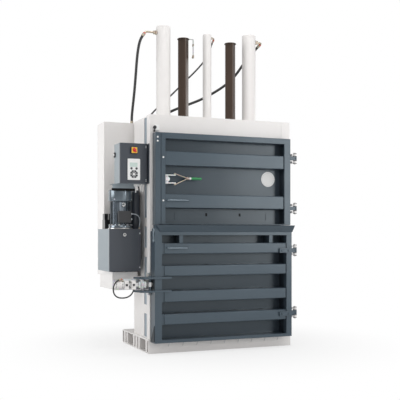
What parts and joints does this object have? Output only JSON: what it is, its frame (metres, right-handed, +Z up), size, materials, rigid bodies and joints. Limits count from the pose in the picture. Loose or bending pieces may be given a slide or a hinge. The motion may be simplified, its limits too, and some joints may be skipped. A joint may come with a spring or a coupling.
{
  "type": "vertical recycling baler",
  "caption": "Upright baling press with a tall frame, cylinders and guide posts on top, a loading door above a bale door, and a power pack and control cabinet at the side.",
  "frame": {"origin": "centre of the base underside, on the floor", "axes": "+Z up, front with the doors faces -Y, +X to the right seen from the front, so the power pack stands at -X"},
  "size_m": [1.7767, 0.995, 2.95],
  "materials": {
    "white_paint": "semi-gloss powder coat",
    "blue_grey_paint": "semi-gloss powder coat",
    "dark_grey_paint": "fine-textured powder coat",
    "light_grey_paint": "fine-textured powder coat",
    "dark_brown_paint": "oiled dark coat",
    "black_paint": "semi-gloss black",
    "galvanised_steel": "zinc plated",
    "hard_chrome": "ground and chromed",
    "motor_grey": "painted cast aluminium",
    "green_plastic": "moulded",
    "white_plastic": "moulded",
    "black_plastic": "moulded",
    "red_plastic": "moulded",
    "hose_rubber": "satin"
  },
  "bodies": {
    "machine": {"base_frame": "white_paint", "chamber_floor": "dark_grey_paint", "front_posts": "white_paint", "side_columns": "white_paint", "chamber_walls": "white_paint", "rear_ribs": "white_paint", "head_frame": "white_paint", "guide_bushes": "white_paint", "left_cylinder": "white_paint", "centre_cylinder": "white_paint", "right_cylinder": "white_paint", "door_jamb": "blue_grey_paint", "door_hinges": "white_paint", "service_duct": "white_paint", "tank_beam": "white_paint", "oil_tank": "light_grey_paint", "tank_front_panel": "dark_grey_paint", "motor_body": "motor_grey", "fan_cover": "motor_grey", "terminal_box": "dark_grey_paint", "return_filter": "black_paint", "valve_block": "black_paint", "motor_guard": "light_grey_paint", "cabinet_bracket": "dark_grey_paint", "cabinet_body": "light_grey_paint", "control_gear": "galvanised_steel", "limit_switch": "white_plastic", "lock_bracket": "galvanised_steel", "lock_cylinder": "white_paint", "hose_fittings": "galvanised_steel", "left_cylinder_hose": "hose_rubber", "centre_cylinder_hose": "hose_rubber", "right_cylinder_hose": "hose_rubber", "lock_hose": "hose_rubber", "motor_cable": "hose_rubber"},
    "press_ram": {"press_platen": "dark_grey_paint", "piston_rods": "hard_chrome", "guide_posts": "dark_brown_paint", "switch_strip": "galvanised_steel"},
    "ejector": {"ejector_plate": "dark_grey_paint"},
    "loading_door_leaf": {"loading_door": "blue_grey_paint", "loading_hinge_leaves": "blue_grey_paint", "loading_handle": "blue_grey_paint", "latch_bracket": "galvanised_steel"},
    "loading_latch": {"latch_lever": "galvanised_steel", "latch_grip": "green_plastic"},
    "bale_door_leaf": {"bale_door": "blue_grey_paint", "bale_hinge_leaves": "blue_grey_paint", "bale_handle": "blue_grey_paint", "lock_straps": "blue_grey_paint"},
    "door_lock_bolt": {"lock_bolt": "galvanised_steel"},
    "cabinet_door_leaf": {"cabinet_door": "dark_grey_paint", "main_switch_base": "black_plastic", "control_panel": "white_plastic"},
    "main_switch": {"main_switch_handle": "red_plastic"},
    "left_button": {"left_panel_button": "black_plastic"},
    "right_button": {"right_panel_button": "black_plastic"},
    "side_lock": {"cabinet_lock": "galvanised_steel"},
    "fan_rotor": {"motor_fan": "black_plastic"},
    "switch_lever": {"limit_switch_lever": "black_plastic"}
  },
  "joints": [
    {"name": "platen_press", "type": "slide", "parent": "machine", "child": "press_ram", "axis": [0, 0, -1], "range_m": [0, 0.74]},
    {"name": "ejector_tilt", "type": "hinge", "parent": "machine", "child": "ejector", "pos_m": [0, -0.3335, 0.1585], "axis": [1, 0, 0], "range_deg": [0, 40]},
    {"name": "loading_door_swing", "type": "hinge", "parent": "machine", "child": "loading_door_leaf", "pos_m": [0.7175, -0.445, 1.509], "axis": [0, 0, 1], "range_deg": [0, 135]},
    {"name": "loading_latch_turn", "type": "hinge", "parent": "loading_door_leaf", "child": "loading_latch", "pos_m": [-0.4695, -0.435, 1.5185], "axis": [0, 0, -1], "range_deg": [0, 75]},
    {"name": "bale_door_swing", "type": "hinge", "parent": "machine", "child": "bale_door_leaf", "pos_m": [0.7175, -0.445, 0.6], "axis": [0, 0, 1], "range_deg": [0, 135]},
    {"name": "lock_bolt_slide", "type": "slide", "parent": "machine", "child": "door_lock_bolt", "axis": [1, 0, 0], "range_m": [0, 0.045]},
    {"name": "cabinet_door_swing", "type": "hinge", "parent": "machine", "child": "cabinet_door_leaf", "pos_m": [-0.6985, -0.355, 1.6515], "axis": [0, 0, 1], "range_deg": [0, 85]},
    {"name": "main_switch_turn", "type": "hinge", "parent": "cabinet_door_leaf", "child": "main_switch", "pos_m": [-0.8178, -0.3815, 1.763], "axis": [0, 1, 0], "range_deg": [0, 90]},
    {"name": "left_button_press", "type": "slide", "parent": "cabinet_door_leaf", "child": "left_button", "axis": [0, 1, 0], "range_m": [0, 0.002], "stiffness_N_per_m": 120},
    {"name": "right_button_press", "type": "slide", "parent": "cabinet_door_leaf", "child": "right_button", "axis": [0, 1, 0], "range_m": [0, 0.002], "stiffness_N_per_m": 120},
    {"name": "cabinet_lock_turn", "type": "hinge", "parent": "machine", "child": "side_lock", "pos_m": [-0.9405, -0.195, 1.733], "axis": [1, 0, 0], "range_deg": [0, 90]},
    {"name": "motor_fan_spin", "type": "hinge", "parent": "machine", "child": "fan_rotor", "pos_m": [-0.8665, -0.115, 1.36], "axis": [0, 0, 1], "continuous": true},
    {"name": "switch_lever_turn", "type": "hinge", "parent": "machine", "child": "switch_lever", "pos_m": [-0.6464, -0.41, 1.972], "axis": [1, 0, 0], "range_deg": [-20, 0], "stiffness_Nm_per_rad": 0.3}
  ]
}
